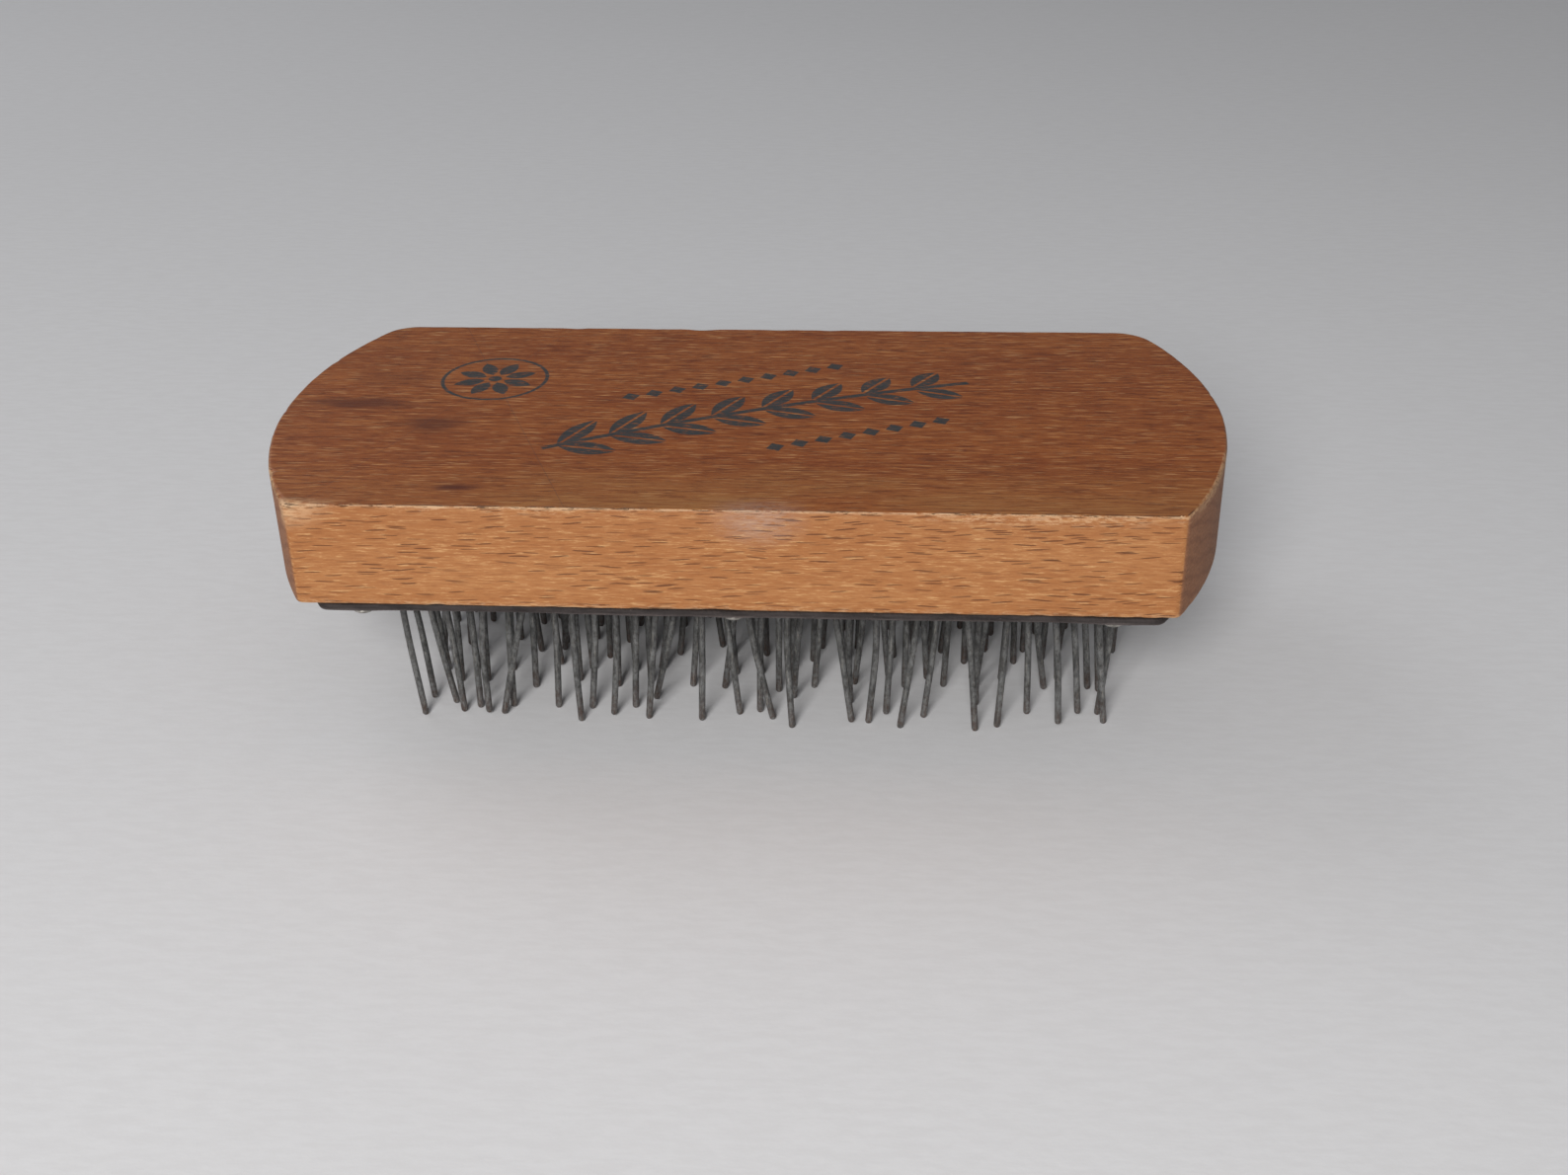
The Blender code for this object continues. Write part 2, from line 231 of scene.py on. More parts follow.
class Field:
    """A number that varies over a surface. Sums and products of fields become Math nodes."""

    def __init__(self, shader, socket):
        self.shader = shader
        self.socket = socket

    def __add__(self, other):
        return self.shader.maths("ADD", self, other)

    def __radd__(self, other):
        return self.shader.maths("ADD", other, self)

    def __sub__(self, other):
        return self.shader.maths("SUBTRACT", self, other)

    def __rsub__(self, other):
        return self.shader.maths("SUBTRACT", other, self)

    def __mul__(self, other):
        return self.shader.maths("MULTIPLY", self, other)

    def __rmul__(self, other):
        return self.shader.maths("MULTIPLY", other, self)

    def __truediv__(self, other):
        return self.shader.maths("DIVIDE", self, other)


class Shader:
    """A Principled material with short names for the nodes that it uses."""

    def __init__(self, name):
        self.material = bpy.data.materials.new(name)
        self.material.use_nodes = True
        self.tree = self.material.node_tree
        self.surface = self.tree.nodes["Principled BSDF"]
        place = self.tree.nodes.new("ShaderNodeTexCoord")
        self.x, self.y, self.z = [part * 1000.0 for part in self.split(place.outputs["Object"])]
        self.facing_x, _, self.facing_z = self.split(place.outputs["Normal"])

    def put(self, socket, value):
        if isinstance(value, Field):
            self.tree.links.new(value.socket, socket)
        elif isinstance(value, bpy.types.NodeSocket):
            self.tree.links.new(value, socket)
        else:
            socket.default_value = value

    def split(self, vector):
        node = self.tree.nodes.new("ShaderNodeSeparateXYZ")
        self.put(node.inputs[0], vector)
        return [Field(self, output) for output in node.outputs]

    def vector(self, x, y, z=0.0):
        node = self.tree.nodes.new("ShaderNodeCombineXYZ")
        for socket, value in zip(node.inputs, (x, y, z)):
            self.put(socket, value)
        return node.outputs[0]

    def maths(self, operation, first, second=0.0):
        node = self.tree.nodes.new("ShaderNodeMath")
        node.operation = operation
        for socket, value in zip(node.inputs, (first, second)):
            self.put(socket, value)
        return Field(self, node.outputs[0])

    def size(self, value):
        """The value without its sign."""
        return self.maths("ABSOLUTE", value)

    def higher(self, first, second):
        return self.maths("MAXIMUM", first, second)

    def length(self, x, y):
        return self.maths("SQRT", x * x + y * y)

    def ease(self, value, start, end):
        """0 where value is at start, 1 where it is at end, and smooth between."""
        node = self.tree.nodes.new("ShaderNodeMapRange")
        node.interpolation_type = "SMOOTHSTEP"
        self.put(node.inputs["Value"], value)
        self.put(node.inputs["From Min"], start)
        self.put(node.inputs["From Max"], end)
        return Field(self, node.outputs["Result"])

    def noise(self, x, y, z=0.0, detail=2.0, roughness=0.5):
        """Noise whose lumps are about one unit across, from 0 to 1."""
        node = self.tree.nodes.new("ShaderNodeTexNoise")
        self.put(node.inputs["Vector"], self.vector(x, y, z))
        node.inputs["Scale"].default_value = 1.0
        node.inputs["Detail"].default_value = detail
        node.inputs["Roughness"].default_value = roughness
        return Field(self, node.outputs["Fac"])

    def cells(self, x, y):
        """Distance to the nearest of points scattered one to a unit square, and its random number."""
        node = self.tree.nodes.new("ShaderNodeTexVoronoi")
        node.voronoi_dimensions = "2D"
        self.put(node.inputs["Vector"], self.vector(x, y))
        node.inputs["Scale"].default_value = 1.0
        chance = self.split(node.outputs["Color"])[0]
        return Field(self, node.outputs["Distance"]), chance

    def mix(self, share, first, second):
        """Colour going from first to second."""
        node = self.tree.nodes.new("ShaderNodeMix")
        node.data_type = "RGBA"
        self.put(node.inputs["Factor"], share)
        for socket, colour in zip(node.inputs[MIX_COLOURS], (first, second)):
            self.put(socket, (*colour, 1.0) if isinstance(colour, tuple) else colour)
        return node.outputs[MIX_RESULT]

    def finish(self, colour, roughness, height, relief):
        """Joins up the surface. Height is in units of the relief."""
        self.put(self.surface.inputs["Base Color"], colour)
        self.put(self.surface.inputs["Roughness"], roughness)
        bump = self.tree.nodes.new("ShaderNodeBump")
        bump.inputs["Strength"].default_value = 1.0
        bump.inputs["Distance"].default_value = relief
        self.put(bump.inputs["Height"], height)
        self.put(self.surface.inputs["Normal"], bump.outputs["Normal"])
        return self.material


# ---------------------------------------------------------------- materials


def printed_ornament(s):
    """A leafy sprig, a round flower and two dotted rules, printed aslant on the top. 1 is ink."""
    across_x = s.x - ORNAMENT_MIDDLE[0]
    across_y = s.y - ORNAMENT_MIDDLE[1]
    along = across_x * math.cos(ORNAMENT_SLANT) + across_y * math.sin(ORNAMENT_SLANT)
    aside = across_y * math.cos(ORNAMENT_SLANT) - across_x * math.sin(ORNAMENT_SLANT)

    # Sprig: a bowed stem with leaves in pairs, shorter towards its tip
    bow = SPRIG_BOW - along * along * (2 * SPRIG_BOW / (SPRIG_HALF * SPRIG_HALF))
    off_stem = s.size(aside - bow)
    stem = s.ease(off_stem, 0.52, 0.34) * s.ease(s.size(along), SPRIG_HALF, SPRIG_HALF - 0.4)
    in_pair = (s.maths("FRACT", along / LEAF_PITCH + WHOLE_PITCHES) - 0.5) * LEAF_PITCH
    from_joint = in_pair + 2.9
    shrink = 1.0 - along * 0.006
    leaf_u = from_joint * math.cos(LEAF_LEAN) + off_stem * math.sin(LEAF_LEAN) - LEAF_OUT
    leaf_v = off_stem * math.cos(LEAF_LEAN) - from_joint * math.sin(LEAF_LEAN)
    half_leaf = HALF_LEAF * shrink
    swell = s.higher(1.0 - (leaf_u / half_leaf) * (leaf_u / half_leaf), 0.0)
    leaf = s.ease(s.size(leaf_v) - swell * 1.55, 0.08, -0.08)
    leaves_end = LEAF_PITCH * LEAF_PAIRS_EACH_WAY
    leaf = leaf * s.ease(s.size(along), leaves_end + 0.05, leaves_end - 0.05)
    vein = s.ease(s.size(leaf_v), 0.12, 0.24)

    # Flower: petals round an eye, in a ring
    flower_x = s.x - FLOWER_MIDDLE[0]
    flower_y = s.y - FLOWER_MIDDLE[1]
    out = s.length(flower_x, flower_y)
    angle = s.maths("ARCTAN2", flower_y, flower_x) * (PETALS / (2 * math.pi)) + PETALS
    in_petal = s.size(s.maths("FRACT", angle) - 0.5) * out * (2 * math.pi / PETALS)
    petal_swell = s.higher(1.0 - (out - PETAL_MIDDLE) * (out - PETAL_MIDDLE) / 4.0, 0.0)
    petal = s.ease(in_petal - petal_swell, 0.08, -0.08)
    eye = s.ease(out, 0.95, 0.75)
    ring = s.ease(s.size(out - FLOWER_RING), 0.32, 0.16)

    # Dotted rules above and below the sprig
    dot_along = s.size(s.maths("FRACT", along / DOT_PITCH + WHOLE_PITCHES) - 0.5) * DOT_PITCH
    upper_dot = s.ease(dot_along + s.size(aside - RULE_ASIDE), 1.25, 1.05)
    upper_dot = upper_dot * s.ease(s.size(along), 15.1, 14.9)
    lower_dot = s.ease(dot_along + s.size(aside + RULE_ASIDE), 1.25, 1.05)
    lower_dot = lower_dot * s.ease(s.size(along - 9.0), 12.1, 11.9)

    shapes = s.higher(s.higher(stem, leaf * vein), s.higher(petal, s.higher(eye, ring)))
    shapes = s.higher(shapes, s.higher(upper_dot, lower_dot))
    worn = s.ease(s.noise(s.x * 0.8, s.y * 3.0, 0.0, 4.0, 0.7), 0.70, 0.52)
    return shapes * worn * s.ease(s.facing_z, 0.9, 0.97)


def ray_flecks(s, across):
    """Short dashes along the fibres, gathered in trains that climb a little. 1 is a fleck."""
    drift = across - s.x * 0.04 + s.noise(s.x * 0.1, s.z * 0.2, s.y * 0.2) * 1.4
    drift = drift + (s.noise(s.x * 0.5, s.z * 0.5, s.y * 0.5, 2.0) - 0.5) * 0.12
    train = s.noise(s.x * 0.045, (across - s.x * 0.11) * 0.75, 4.0, 3.0, 0.6)
    crowd = s.ease(train, 0.36, 0.56)
    fleck_far, fleck_chance = s.cells(s.x / 4.8 + drift * 0.9, drift / 0.28)
    fleck_size = 0.06 + fleck_chance * 0.24
    fleck = s.ease(fleck_far, fleck_size, fleck_size * 0.7) * s.ease(fleck_chance, 0.56, 0.60)
    return fleck * (0.4 + 0.6 * crowd)


def sawn_side(s, broad, grain, fine, thread, fleck):
    """Straight-sawn sides: light orange-tan with dark flecks."""
    side = s.mix(s.ease(broad, 0.3, 0.7), (0.365, 0.139, 0.043), (0.418, 0.176, 0.061))
    side = s.mix(s.ease(grain, 0.36, 0.70) * 0.5, side, (0.335, 0.119, 0.036))
    side = s.mix(s.ease(thread, 0.50, 0.33) * 0.5, side, (0.235, 0.081, 0.026))
    side = s.mix(s.ease(thread, 0.53, 0.70) * 0.7, side, (0.660, 0.387, 0.174))
    side = s.mix(s.ease(fine, 0.5, 0.72) * 0.4, side, (0.600, 0.334, 0.145))
    # Painted shade: the sides darker towards the top
    side = s.mix(s.ease(s.z, TOP_Z - 5.0, TOP_Z - 1.0) * 0.18, side, (0.300, 0.106, 0.035))
    return s.mix(fleck * 0.85, side, (0.125, 0.040, 0.016))


def varnished_top(s, broad):
    """The top's colour, redder and darker with pale glints along the fibres, and its pores."""
    streak = s.noise(s.x * 0.045, s.y * 1.1, 3.0, 6.0, 0.65)
    hair = s.noise(s.x * 0.20, s.y * 1.9, 7.0, 5.0, 0.78)
    plank = s.mix(s.ease(broad, 0.25, 0.75), (0.273, 0.068, 0.014), (0.354, 0.105, 0.024))
    plank = s.mix(s.ease(streak, 0.44, 0.68) * 0.5, plank, (0.199, 0.044, 0.009))
    plank = s.mix(s.ease(hair, 0.50, 0.38) * 0.8, plank, (0.130, 0.028, 0.007))
    plank = s.mix(s.ease(hair, 0.53, 0.66) * 0.75, plank, (0.484, 0.187, 0.052))
    glint = s.ease(s.noise(s.x * 0.26 + 9.0, s.y * 3.8, 1.0, 2.0, 0.6), 0.57, 0.69)
    plank = s.mix(glint * 0.5, plank, (0.80, 0.45, 0.20))
    pore = s.ease(s.noise(s.x * 0.36 + 3.0, s.y * 3.8, 6.0, 2.0, 0.6), 0.60, 0.70)
    plank = s.mix(pore * 0.5, plank, (0.100, 0.024, 0.007))

    # Greyer, rubbed strip along its front
    rubbed_and_highlit = s.y + s.noise(s.x * 0.08, s.y * 0.3) * 14.0
    rubbed_and_highlit = s.ease(rubbed_and_highlit, FRONT_Y + 23.0, FRONT_Y + 6.0)
    rubbed_and_highlit = rubbed_and_highlit * s.ease(s.noise(s.x * 0.04 + 3.7, s.y * 0.1), 0.25, 0.55)
    rubbed_and_highlit = rubbed_and_highlit * (0.3 + 0.7 * s.ease(s.x, -34.0, -12.0))
    rubbed_and_highlit = rubbed_and_highlit * (1.25 - 0.35 * s.ease(s.x, 14.0, 30.0))
    rubbed_and_highlit = rubbed_and_highlit * (0.30 + 0.45 * s.ease(hair, 0.38, 0.62))
    plank = s.mix(rubbed_and_highlit, plank, (0.372, 0.166, 0.053))

    # Dark reddish stains
    for centre_x, centre_y, long_reach, cross_reach, depth in STAINS:
        away = s.length((s.x - centre_x) / long_reach, (s.y - centre_y) / cross_reach)
        ragged = away + (s.noise(s.x * 0.25, s.y * 0.9) - 0.5) * 0.9
        plank = s.mix(s.ease(ragged, 1.1, 0.2) * depth, plank, (0.110, 0.024, 0.009))
    return plank, pore


def end_grain(s):
    """Greyish brown, with growth rings across it."""
    rings = s.maths("SINE", (s.z + s.y * 0.42 + s.noise(s.y * 0.12, s.z * 0.12) * 5.0) * 2.9)
    speckle = s.noise(s.y * 3.2, s.z * 3.2, s.x * 0.4, 3.0, 0.7)
    cross = s.mix(s.ease(speckle, 0.3, 0.7), (0.223, 0.095, 0.046), (0.336, 0.152, 0.076))
    return s.mix(s.ease(rings, 0.2, 1.0) * 0.35, cross, (0.168, 0.065, 0.032))


def rubbed_bare(s, rim, on_edge, on_side, below_top, ragged, splinter):
    """Edges rubbed to bare wood, worst along the front, at its left corner and on the right end."""
    patchy = s.ease(s.noise(s.x * 0.11 + 1.3, s.y * 0.12, 5.0, 3.0, 0.6), 0.44, 0.60)
    bare = on_edge * (0.18 + 0.82 * patchy) * s.ease(ragged, 0.38, 0.54)
    top_band = s.ease(below_top, 1.5, 0.1) * on_side * patchy
    bare = s.higher(bare, top_band * s.ease(splinter, 0.50, 0.64) * 0.8)
    low_band = s.ease(BOTTOM_Z + 1.0 - s.z, 0.0, 0.9) * on_side * 0.7
    bare = s.higher(bare, low_band * s.ease(splinter, 0.47, 0.62))
    corner_far = s.length((s.x + 52.0) / 8.0, below_top / 3.6)
    corner = s.ease(corner_far, 1.15, 0.35) * s.ease(s.y, FRONT_Y + 2.0, FRONT_Y + 0.6)
    bare = s.higher(bare, corner * (0.35 + 0.65 * s.ease(splinter, 0.36, 0.56)))
    gouged = s.ease(s.x, 49.5, 53.0) * s.ease(s.y, -8.0, -12.0) * s.ease(below_top, 1.6, 0.5)
    gouged = gouged * s.ease(rim, 0.9995, 0.98)
    bare = s.higher(bare, gouged * s.ease(splinter, 0.36, 0.56) * 0.85)
    chipped = s.ease(below_top, 1.8, 0.4) * on_side
    chipped = chipped * s.ease(s.x, 21.0, 27.0) * s.ease(s.x, 48.0, 43.0)
    return s.higher(bare, chipped * s.ease(splinter, 0.45, 0.60) * 0.8)


def beech():
    s = Shader("beech_worn")
    top = s.ease(s.facing_z, 0.55, 0.8)
    end = s.ease(s.size(s.facing_x), 0.45, 0.7) * (1.0 - top)
    across = s.z + (s.y - s.z) * top

    # Fibres run along X
    broad = s.noise(s.x * 0.018, s.y * 0.16, s.z * 0.16, 3.0, 0.55)
    grain = s.noise(s.x * 0.07, s.y * 1.7, s.z * 1.7, 5.0, 0.62)
    fine = s.noise(s.x * 0.35, s.y * 7.0, s.z * 7.0, 3.0, 0.6)
    thread = s.noise(s.x * 0.42, s.y * 3.6, s.z * 3.6, 4.0, 0.72)

    fleck = ray_flecks(s, across)
    side = sawn_side(s, broad, grain, fine, thread, fleck)
    plank, pore = varnished_top(s, broad)
    cross = end_grain(s)
    colour = s.mix(top, side, plank)
    colour = s.mix(end, colour, cross)

    # Printing ink
    ink = printed_ornament(s)
    ink_tone = s.mix(s.ease(fine, 0.3, 0.7), (0.014, 0.030, 0.037), (0.040, 0.058, 0.066))
    colour = s.mix(ink * 0.93, colour, ink_tone)

    # Edges rubbed to bare wood
    ragged = s.noise(s.x * 0.5, s.y * 0.5, s.z * 1.2, 5.0, 0.65)
    splinter = s.noise(s.x * 0.9, s.y * 0.9, s.z * 3.4, 4.0, 0.7)
    rim = s.size(s.facing_z)
    on_edge = s.ease(rim, 0.10, 0.4) * s.ease(rim, 0.97, 0.85)
    below_top = TOP_Z - s.z
    on_side = 1.0 - top
    bare = rubbed_bare(s, rim, on_edge, on_side, below_top, ragged, splinter)
    colour = s.mix(bare * 0.75, colour, (0.66, 0.415, 0.235))

    # Painted highlight: a thin bright line where the top meets the front
    painted_edge_highlight = s.ease(rim, 0.45, 0.62) * s.ease(rim, 0.93, 0.80)
    painted_edge_highlight = painted_edge_highlight * s.ease(s.y, FRONT_Y + 2.0, FRONT_Y + 1.0)
    painted_edge_highlight = painted_edge_highlight * s.ease(s.noise(s.x * 0.33, 4.0, 2.0, 4.0, 0.7), 0.40, 0.54)
    painted_edge_highlight = painted_edge_highlight * s.ease(below_top, 4.0, 2.0)
    colour = s.mix(painted_edge_highlight * 0.55, colour, (0.74, 0.50, 0.31))

    # Dirt in the broken top edge and in cracks
    brink = s.ease(rim, 0.80, 0.93) * s.ease(rim, 0.9995, 0.985)
    brink = brink * s.ease(s.y, FRONT_Y + 2.5, FRONT_Y + 1.2)
    dirty = s.ease(s.noise(s.x * 0.07 + 8.0, 2.0, 1.0, 3.0, 0.65), 0.42, 0.56)
    crack = s.ease(s.noise(s.x * 0.6, s.y * 2.0, s.z * 6.0, 4.0, 0.7), 0.56, 0.66)
    grime_and_painted_shade = s.higher(on_edge * crack, brink * dirty * s.ease(ragged, 0.36, 0.5))
    colour = s.mix(grime_and_painted_shade * 0.75, colour, (0.075, 0.034, 0.020))

    # Thin dusty patch at the middle of the front edge
    dust_far = s.length((s.x - 3.2) / 5.5, (below_top - 1.2) / 3.4)
    dust = s.ease(dust_far, 1.25, 0.1) * s.ease(s.y, FRONT_Y + 3.5, FRONT_Y + 0.5)
    dust = dust * s.ease(splinter, 0.25, 0.6)
    colour = s.mix(dust * 0.33, colour, (0.47, 0.39, 0.35))

    roughness = 0.58 - 0.14 * top + 0.16 * end + 0.18 * bare - 0.08 * s.ease(fine, 0.3, 0.8)
    height = grain * 0.35 + thread * 0.4 - fleck * on_side * 0.6 - pore * top * 0.25 - grime_and_painted_shade * 0.8
    s.surface.inputs["Specular IOR Level"].default_value = 0.30
    return s.finish(colour, roughness, height, 0.09 * MM)


def backing_rubber():
    s = Shader("backing_rubber")
    mottle = s.noise(s.x * 0.35, s.y * 0.35, s.z * 1.5, 5.0, 0.65)
    weave_x = s.maths("SINE", s.x * (2 * math.pi / WEAVE_PITCH))
    weave_y = s.maths("SINE", s.y * (2 * math.pi / WEAVE_PITCH))
    colour = s.mix(s.ease(mottle, 0.3, 0.7), (0.021, 0.0165, 0.0160), (0.050, 0.041, 0.040))
    # Its cut edge is lighter grey along the bottom: rubbed wear and a painted highlight where the edge
    # catches the light
    low = SHEET_LOW.z * 1000
    edge = s.ease(s.size(s.facing_z), 0.97, 0.75)
    rubbed_and_highlit = edge * s.ease(s.z, low + 0.45, low + 0.05)
    wear = s.ease(s.noise(s.x * 0.25, s.y * 0.6, s.z * 2.0, 4.0, 0.6), 0.3, 0.6)
    colour = s.mix(rubbed_and_highlit * (0.2 + 0.8 * wear), colour, (0.118, 0.098, 0.094))
    lint = s.ease(s.noise(s.x * 1.6, s.y * 1.6, s.z * 4.0, 4.0, 0.75), 0.66, 0.74)
    colour = s.mix(lint * 0.4, colour, (0.42, 0.38, 0.35))
    height = weave_x * weave_y * 0.25 + mottle * 1.2
    s.surface.inputs["Specular IOR Level"].default_value = 0.22
    return s.finish(colour, 0.62 + mottle * 0.22 - rubbed_and_highlit * 0.15, height, 0.06 * MM)


def wire_steel():
    s = Shader("wire_steel")
    mottle = s.noise(s.x * 0.9, s.y * 0.9, s.z * 0.55, 5.0, 0.7)
    speck = s.noise(s.x * 4.0, s.y * 4.0, s.z * 2.2, 4.0, 0.7)
    drawn = s.noise(s.x * 9.0, s.y * 9.0, s.z * 0.35, 3.0, 0.6)
    colour = s.mix(s.ease(mottle, 0.35, 0.65), (0.076, 0.077, 0.076), (0.195, 0.197, 0.196))
    colour = s.mix(s.ease(speck, 0.46, 0.64) * 0.65, colour, (0.038, 0.033, 0.027))
    colour = s.mix(s.ease(drawn, 0.55, 0.72) * 0.5, colour, (0.46, 0.43, 0.38))
    # Painted shade: darker near the sheet, where the block shades the legs, and in the inner rows, which
    # lie in shade
    grime_and_painted_shade = s.higher(s.ease(s.z, 9.0, 17.0) * 0.6, s.ease(s.y, -14.0, -2.0) * 0.5)
    colour = s.mix(grime_and_painted_shade, colour, (0.034, 0.033, 0.032))
    # Rust gathers towards the tips
    tip = s.ease(s.z + mottle * 9.0, 9.5, 4.0)
    rust = tip * s.ease(speck, 0.36, 0.58)
    colour = s.mix(rust * 0.3, colour, (0.15, 0.060, 0.034))
    s.surface.inputs["Metallic"].default_value = 0.45
    roughness = 0.40 + s.ease(speck, 0.4, 0.7) * 0.25 + rust * 0.15
    return s.finish(colour, roughness, speck * 0.7 + drawn * 0.3, 0.05 * MM)


def tack_steel():
    s = Shader("tack_steel")
    mottle = s.noise(s.x * 1.4, s.y * 1.4, s.z * 1.4, 4.0, 0.65)
    colour = s.mix(s.ease(mottle, 0.35, 0.65), (0.20, 0.19, 0.17), (0.44, 0.425, 0.395))
    spot = s.ease(s.noise(s.x * 5.0, s.y * 5.0, s.z * 5.0, 3.0, 0.7), 0.6, 0.7)
    colour = s.mix(spot * 0.6, colour, (0.20, 0.12, 0.07))
    s.surface.inputs["Metallic"].default_value = 0.7
    return s.finish(colour, 0.34 + spot * 0.3, mottle, 0.04 * MM)


def floor_card():
    s = Shader("floor_card")
    cloud = s.noise(s.x * 0.006, s.y * 0.006, 0.0, 3.0, 0.5)
    tooth = s.noise(s.x * 0.8, s.y * 0.8, 0.0, 3.0, 0.6)
    fibre = s.noise(s.x * 0.22, s.y * 0.9, 4.0, 4.0, 0.7)
    colour = s.mix(cloud, (0.78, 0.78, 0.80), (0.83, 0.83, 0.85))
    colour = s.mix(s.ease(fibre, 0.35, 0.65) * 0.5, colour, (0.75, 0.745, 0.76))
    return s.finish(colour, 0.75, tooth, 0.02 * MM)


# ---------------------------------------------------------------- shapes


def add_piece(name, mesh, material, replaced):
    """A piece of the brush, riding on its one body."""
    mesh.materials.append(material)
    piece = bpy.data.objects.new(name, mesh)
    bpy.context.scene.collection.objects.link(piece)
    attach(piece, "root")
    for node in replaced:
        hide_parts(node)


def skin_rings(name, rings):
    """A closed mesh through rings of points, all with the same number of points."""
    shape = bmesh.new()
    loops = [[shape.verts.new(point) for point in ring] for ring in rings]
    for lower, upper in zip(loops[:-1], loops[1:]):
        count = len(lower)
        for index in range(count):
            after = (index + 1) % count
            shape.faces.new((lower[index], lower[after], upper[after], upper[index]))
    shape.faces.new(list(reversed(loops[0])))
    shape.faces.new(loops[-1])
    bmesh.ops.recalc_face_normals(shape, faces=shape.faces)
    mesh = bpy.data.meshes.new(name)
    shape.to_mesh(mesh)
    shape.free()
    mesh.shade_smooth()
    return mesh


def arc(centre, radius, start, end, steps):
    angles = [start + (end - start) * step / steps for step in range(steps + 1)]
    return [(centre[0] + radius * math.cos(a), centre[1] + radius * math.sin(a)) for a in angles]


def bowed_outline(half_length, half_width, front_radius, back_radius):
    """Straight long sides, bowed ends and rounded corners, anticlockwise from the front right."""
    sweep = (half_width**2 + END_RISE**2) / (2 * END_RISE)
    sweep_x = half_length - sweep

    def corner(radius):
        y = half_width - radius
        x = sweep_x + math.sqrt((sweep - radius) ** 2 - y**2)
        return (x, y), math.atan2(y, x - sweep_x)

    (front_x, front_y), front_turn = corner(front_radius)
    (back_x, back_y), back_turn = corner(back_radius)
    end = arc((front_x, -front_y), front_radius, -math.pi / 2, -front_turn, FRONT_CORNER_STEPS)
    end += arc((sweep_x, 0), sweep, -front_turn, back_turn, BOW_STEPS)[1:-1]
    end += arc((back_x, back_y), back_radius, back_turn, math.pi / 2, BACK_CORNER_STEPS)
    return end + [(-x, y) for x, y in reversed(end)]


def spaced_outline(outline, step):
    """The outline again with points an even step apart, as (point, outward direction)."""
    corners = [Vector((x, y, 0)) for x, y in outline]
    points = []
    carried = 0.0
    for start, end in zip(corners, corners[1:] + corners[:1]):
        length = (end - start).length
        if length == 0:
            continue
        while carried < length:
            points.append(start.lerp(end, carried / length))
            carried += step
        carried -= length
    result = []
    for index, point in enumerate(points):
        along = points[(index + 1) % len(points)] - points[index - 1]
        result.append((point, Vector((along.y, -along.x, 0)).normalized()))
    return result


def rough(point, scale, seed):
    """Smooth noise from -1 to 1, with lumps about scale across."""
    return noise.noise(Vector((point.x / scale, point.y / scale, seed)))


def edge_wear(point, seed):
    """Radius of the block's worn edge at a point of its outline."""
    wave = rough(point, WAVES[1] * MM, seed)
    roughening = rough(point, ROUGHENING[1] * MM, seed + 7.0)
    chip = max(0.0, rough(point, CHIPS[1] * MM, seed + 3.0) - CHIP_START)
    return (EDGE_RADIUS + WAVES[0] * wave + ROUGHENING[0] * roughening + CHIPS[0] * chip) * MM


def knock(point, centre, reach):
    """1 at a knocked place on the outline, falling to 0 a few reaches away."""
    away = (Vector((point.x, point.y)) - Vector(centre)).length / reach
    return math.exp(-away * away)


def top_edge_wear(point):
    """Radius of the block's worn top edge at a point of its outline, with its knocks."""
    worn = edge_wear(point, HIGH_EDGE_SEED)
    for place, depth, reach in KNOCKS:
        worn += depth * knock(point, place, reach)
    return min(worn, WIDEST_WEAR)


def block_section(point):
    """The block's side at a point of its outline, from its underside to its top, as (inset, height)."""
    low = edge_wear(point, LOW_EDGE_SEED)
    high = top_edge_wear(point)
    section = [(low + FACE_INSET, BLOCK_LOW.z)]
    for step in range(LOW_EDGE_STEPS + 1):
        turn = math.pi / 2 * step / LOW_EDGE_STEPS
        section.append((low * (1 - math.sin(turn)), BLOCK_LOW.z + low * (1 - math.cos(turn))))
    for step in range(1, WALL_STEPS):
        share = step / WALL_STEPS
        section.append((0.0, (BLOCK_LOW.z + low) * (1 - share) + (BLOCK_HIGH.z - high) * share))
    for step in range(HIGH_EDGE_STEPS + 1):
        turn = math.pi / 2 * step / HIGH_EDGE_STEPS
        section.append((high * (1 - math.cos(turn)), BLOCK_HIGH.z - high * (1 - math.sin(turn))))
    section.append((high + FACE_INSET, BLOCK_HIGH.z))
    return section


def block_rings():
    """The block's skin from the rim of its underside, round its side, to the rim of its top."""
    outline = bowed_outline(BLOCK_HIGH.x, BLOCK_HIGH.y, FRONT_CORNER_RADIUS, BACK_CORNER_RADIUS)
    columns = []
    for point, out in spaced_outline(outline, OUTLINE_STEP):
        spots = [(point - out * inset, z) for inset, z in block_section(point)]
        columns.append([Vector((spot.x, spot.y, z)) for spot, z in spots])
    return list(zip(*columns))


def make_block():
    mesh = skin_rings("wooden_block", block_rings())
    add_piece("wooden_block", mesh, beech(), ["wood_block"])


def unevenness(point, kind):
    """Height of one of the sheet's kinds of unevenness at a point."""
    depth, scale, seed = kind
    return depth * rough(point, scale, seed)


